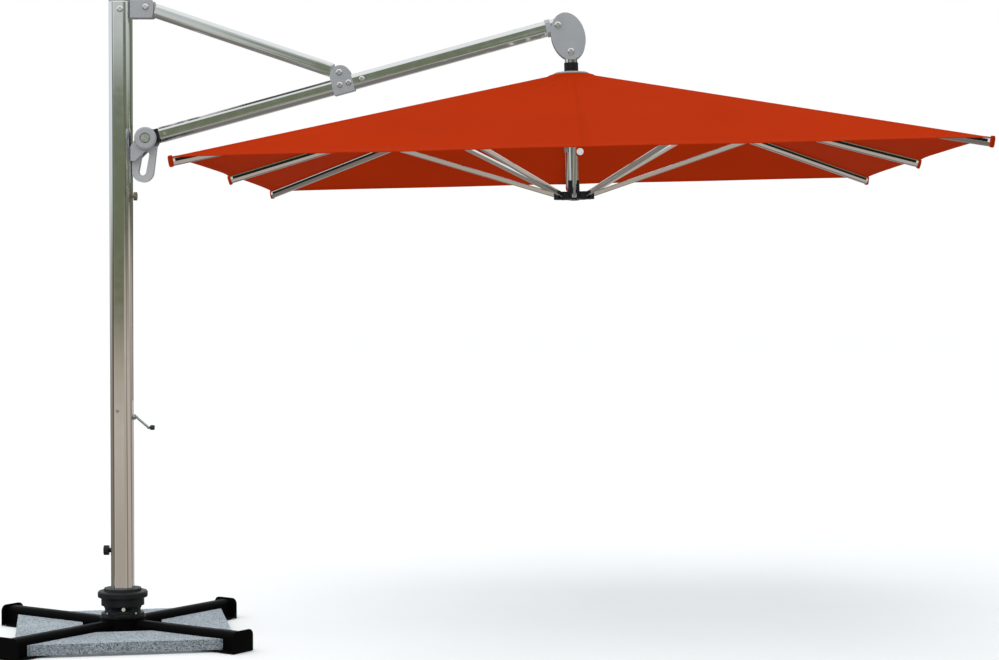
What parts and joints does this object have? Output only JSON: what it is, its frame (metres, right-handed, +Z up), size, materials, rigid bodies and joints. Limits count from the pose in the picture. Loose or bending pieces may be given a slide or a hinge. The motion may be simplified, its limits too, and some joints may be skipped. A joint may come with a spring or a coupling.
{
  "type": "cantilever parasol",
  "caption": "Square side-mast parasol whose canopy hangs from a folding boom and tie, on a slab-weighted cross base with a turntable.",
  "frame": {"origin": "mast axis at ground level, on the underside of the base's feet", "axes": "+X from the mast to the canopy, +Z up, +Y completes a right-handed frame"},
  "size_m": [4.0857, 3.01, 2.78],
  "materials": {
    "black_steel": "satin",
    "rubber": "matte",
    "granite": "satin",
    "dark_casting": "satin",
    "bolt_steel": "satin",
    "inner_steel": "satin",
    "nylon": "matte",
    "pedal_steel": "satin",
    "anodised_tube": "satin",
    "grey_casting": "satin",
    "bright_tube": "polished",
    "knob_bronze": "satin",
    "grip_plastic": "matte",
    "rib_aluminium": "satin",
    "canopy_fabric": "matte",
    "rope_fibre": "matte"
  },
  "bodies": {
    "base": {"base_cross": "black_steel", "base_feet": "rubber", "slab_front": "granite", "slab_right": "granite", "slab_back": "granite", "slab_left": "granite", "turret_base": "dark_casting", "turret_bolts": "bolt_steel", "spigot_tube": "inner_steel"},
    "foot_pedal": {"foot_pedal": "pedal_steel"},
    "lock_pin": {"lock_pin": "bolt_steel"},
    "mast": {"turn_bearings": "nylon", "turret_collar": "dark_casting", "mast_tube": "anodised_tube", "top_bracket": "grey_casting", "top_bolts": "bolt_steel", "winch_frame": "inner_steel"},
    "mast_clamp_knob": {"mast_clamp_knob": "dark_casting"},
    "winch_drum": {"winch_drum": "grey_casting"},
    "crank": {"crank": "grey_casting"},
    "crank_grip": {"crank_grip": "grip_plastic"},
    "tie": {"tie_tube": "anodised_tube", "tie_ends": "grey_casting"},
    "boom": {"boom_tube": "anodised_tube", "boom_knuckle": "dark_casting", "boom_saddle": "grey_casting", "boom_bolts": "bolt_steel", "head_plates": "grey_casting", "head_core": "grey_casting"},
    "head_pulley": {"head_pulley": "nylon"},
    "carriage": {"carriage_body": "grey_casting", "slide_shoe": "nylon", "hub_discs": "grey_casting", "hub_bolt": "bolt_steel", "pull_handle": "grey_casting"},
    "carriage_lock_knob": {"carriage_lock_knob": "knob_bronze"},
    "canopy_pole": {"hanger": "bright_tube", "clamp_collar": "dark_casting", "crown_dish": "grey_casting", "crown_hub": "grey_casting", "pole_tube": "bright_tube", "hoist_rope": "rope_fibre", "canopy_cloth": "canopy_fabric"},
    "rib_0": {"rib_0": "rib_aluminium"},
    "rib_1": {"rib_1": "rib_aluminium"},
    "rib_2": {"rib_2": "rib_aluminium"},
    "rib_3": {"rib_3": "rib_aluminium"},
    "rib_4": {"rib_4": "rib_aluminium"},
    "rib_5": {"rib_5": "rib_aluminium"},
    "rib_6": {"rib_6": "rib_aluminium"},
    "rib_7": {"rib_7": "rib_aluminium"},
    "strut_0": {"strut_0": "rib_aluminium"},
    "strut_1": {"strut_1": "rib_aluminium"},
    "strut_2": {"strut_2": "rib_aluminium"},
    "strut_3": {"strut_3": "rib_aluminium"},
    "strut_4": {"strut_4": "rib_aluminium"},
    "strut_5": {"strut_5": "rib_aluminium"},
    "strut_6": {"strut_6": "rib_aluminium"},
    "strut_7": {"strut_7": "rib_aluminium"},
    "runner": {"runner": "dark_casting"}
  },
  "joints": [
    {"name": "mast_turn", "type": "hinge", "parent": "base", "child": "mast", "pos_m": [0, 0, 0.147], "axis": [0, 0, 1], "continuous": true},
    {"name": "pedal_press", "type": "hinge", "parent": "base", "child": "foot_pedal", "pos_m": [0.01991, -0.08982, 0.122], "axis": [0.9763, 0.2164, 0], "range_deg": [0, 8], "stiffness_Nm_per_rad": 1.2, "springref_deg": -17.19},
    {"name": "lock_pin_slide", "type": "slide", "parent": "base", "child": "lock_pin", "axis": [0.2164, -0.9763, 0], "range_m": [0, 0.0061]},
    {"name": "clamp_knob_turn", "type": "hinge", "parent": "mast", "child": "mast_clamp_knob", "pos_m": [-0.06, 0, 0.385], "axis": [1, 0, 0], "range_deg": [0, 540]},
    {"name": "tie_fold", "type": "hinge", "parent": "mast", "child": "tie", "pos_m": [0.115, 0, 2.748], "axis": [0, 1, 0], "range_deg": [0, 35], "deforming": ["canopy_cloth", "hoist_rope"]},
    {"name": "boom_fold", "type": "hinge", "parent": "tie", "child": "boom", "pos_m": [0.955, 0, 2.464], "axis": [0, 1, 0], "range_deg": [-70.64, 0]},
    {"name": "carriage_hinge", "type": "hinge", "parent": "boom", "child": "carriage", "pos_m": [0.115, 0, 2.18], "axis": [0, 1, 0], "range_deg": [0, 35.57]},
    {"name": "carriage_knob_turn", "type": "hinge", "parent": "carriage", "child": "carriage_lock_knob", "pos_m": [0.06, 0, 1.93], "axis": [1, 0, 0], "range_deg": [0, 360]},
    {"name": "pole_hinge", "type": "hinge", "parent": "boom", "child": "canopy_pole", "pos_m": [1.957, 0, 2.552], "axis": [0, 1, 0], "range_deg": [0, 35.57]},
    {"name": "crank_turn", "type": "hinge", "parent": "mast", "child": "crank", "pos_m": [0, 0, 0.968], "axis": [1, 0, 0], "range_deg": [0, 3607.7]},
    {"name": "drum_turn", "type": "hinge", "parent": "mast", "child": "winch_drum", "pos_m": [-0.011, 0, 0.996], "axis": [0, 1, 0], "range_deg": [0, 180.86]},
    {"name": "grip_spin", "type": "hinge", "parent": "crank", "child": "crank_grip", "pos_m": [0.13, 0, 0.922], "axis": [1, 0, 0], "continuous": true},
    {"name": "pulley_spin", "type": "hinge", "parent": "boom", "child": "head_pulley", "pos_m": [1.94515, 0, 2.61818], "axis": [0, 1, 0], "range_deg": [0, 2796.08]},
    {"name": "rib_0_fold", "type": "hinge", "parent": "canopy_pole", "child": "rib_0", "pos_m": [2.02575, 0, 2.43153], "axis": [0, 1, 0], "range_deg": [0, 73.1]},
    {"name": "rib_1_fold", "type": "hinge", "parent": "canopy_pole", "child": "rib_1", "pos_m": [2.00643, 0.04667, 2.43109], "axis": [-0.7069, 0.7071, -0.016], "range_deg": [0, 77.56]},
    {"name": "rib_2_fold", "type": "hinge", "parent": "canopy_pole", "child": "rib_2", "pos_m": [1.95977, 0.066, 2.43003], "axis": [-0.9997, 0, -0.0227], "range_deg": [0, 73.1]},
    {"name": "rib_3_fold", "type": "hinge", "parent": "canopy_pole", "child": "rib_3", "pos_m": [1.91311, 0.04667, 2.42897], "axis": [-0.7069, -0.7071, -0.016], "range_deg": [0, 77.56]},
    {"name": "rib_4_fold", "type": "hinge", "parent": "canopy_pole", "child": "rib_4", "pos_m": [1.89379, 0, 2.42853], "axis": [0, -1, 0], "range_deg": [0, 73.1]},
    {"name": "rib_5_fold", "type": "hinge", "parent": "canopy_pole", "child": "rib_5", "pos_m": [1.91311, -0.04667, 2.42897], "axis": [0.7069, -0.7071, 0.016], "range_deg": [0, 77.56]},
    {"name": "rib_6_fold", "type": "hinge", "parent": "canopy_pole", "child": "rib_6", "pos_m": [1.95977, -0.066, 2.43003], "axis": [0.9997, 0, 0.0227], "range_deg": [0, 73.1]},
    {"name": "rib_7_fold", "type": "hinge", "parent": "canopy_pole", "child": "rib_7", "pos_m": [2.00643, -0.04667, 2.43109], "axis": [0.7069, 0.7071, 0.016], "range_deg": [0, 77.56]},
    {"name": "strut_0_fold", "type": "hinge", "parent": "rib_0", "child": "strut_0", "pos_m": [2.81228, 0, 2.19931], "axis": [0, 1, 0], "range_deg": [-145.69, 0]},
    {"name": "strut_1_fold", "type": "hinge", "parent": "rib_1", "child": "strut_1", "pos_m": [2.56095, 0.59716, 2.25969], "axis": [-0.7069, 0.7071, -0.016], "range_deg": [-145.79, 0]},
    {"name": "strut_2_fold", "type": "hinge", "parent": "rib_2", "child": "strut_2", "pos_m": [1.96544, 0.84705, 2.1801], "axis": [-0.9997, 0, -0.0227], "range_deg": [-145.69, 0]},
    {"name": "strut_3_fold", "type": "hinge", "parent": "rib_3", "child": "strut_3", "pos_m": [1.36693, 0.59716, 2.23259], "axis": [-0.7069, -0.7071, -0.016], "range_deg": [-145.79, 0]},
    {"name": "strut_4_fold", "type": "hinge", "parent": "rib_4", "child": "strut_4", "pos_m": [1.1186, 0, 2.16088], "axis": [0, -1, 0], "range_deg": [-145.69, 0]},
    {"name": "strut_5_fold", "type": "hinge", "parent": "rib_5", "child": "strut_5", "pos_m": [1.36693, -0.59716, 2.23259], "axis": [0.7069, -0.7071, 0.016], "range_deg": [-145.79, 0]},
    {"name": "strut_6_fold", "type": "hinge", "parent": "rib_6", "child": "strut_6", "pos_m": [1.96544, -0.84705, 2.1801], "axis": [0.9997, 0, 0.0227], "range_deg": [-145.69, 0]},
    {"name": "strut_7_fold", "type": "hinge", "parent": "rib_7", "child": "strut_7", "pos_m": [2.56095, -0.59716, 2.25969], "axis": [0.7069, 0.7071, 0.016], "range_deg": [-145.79, 0]},
    {"name": "runner_hinge", "type": "hinge", "parent": "strut_4", "child": "runner", "pos_m": [1.90513, 0, 1.92866], "axis": [0, -1, 0], "range_deg": [0, 73.1]}
  ],
  "couplings": [
    {"joint": "lock_pin_slide", "follows": "pedal_press", "m_per_rad": 0.042972},
    {"joint": "boom_fold", "follows": "tie_fold", "ratio": -2},
    {"joint": "carriage_hinge", "follows": "tie_fold", "ratio": 1},
    {"joint": "pole_hinge", "follows": "tie_fold", "ratio": 1},
    {"joint": "crank_turn", "follows": "tie_fold", "ratio": 102.86},
    {"joint": "drum_turn", "follows": "tie_fold", "ratio": 5.1429},
    {"joint": "pulley_spin", "follows": "tie_fold", "ratio": 79.714},
    {"joint": "rib_0_fold", "follows": "tie_fold", "ratio": 2.07},
    {"joint": "rib_1_fold", "follows": "tie_fold", "ratio": 2.1973},
    {"joint": "rib_2_fold", "follows": "tie_fold", "ratio": 2.07},
    {"joint": "rib_3_fold", "follows": "tie_fold", "ratio": 2.1973},
    {"joint": "rib_4_fold", "follows": "tie_fold", "ratio": 2.07},
    {"joint": "rib_5_fold", "follows": "tie_fold", "ratio": 2.1973},
    {"joint": "rib_6_fold", "follows": "tie_fold", "ratio": 2.07},
    {"joint": "rib_7_fold", "follows": "tie_fold", "ratio": 2.1973},
    {"joint": "strut_0_fold", "follows": "tie_fold", "ratio": -4.1401},
    {"joint": "strut_1_fold", "follows": "tie_fold", "ratio": -4.1429},
    {"joint": "strut_2_fold", "follows": "tie_fold", "ratio": -4.1401},
    {"joint": "strut_3_fold", "follows": "tie_fold", "ratio": -4.1429},
    {"joint": "strut_4_fold", "follows": "tie_fold", "ratio": -4.1401},
    {"joint": "strut_5_fold", "follows": "tie_fold", "ratio": -4.1429},
    {"joint": "strut_6_fold", "follows": "tie_fold", "ratio": -4.1401},
    {"joint": "strut_7_fold", "follows": "tie_fold", "ratio": -4.1429},
    {"joint": "runner_hinge", "follows": "tie_fold", "ratio": 2.07}
  ]
}
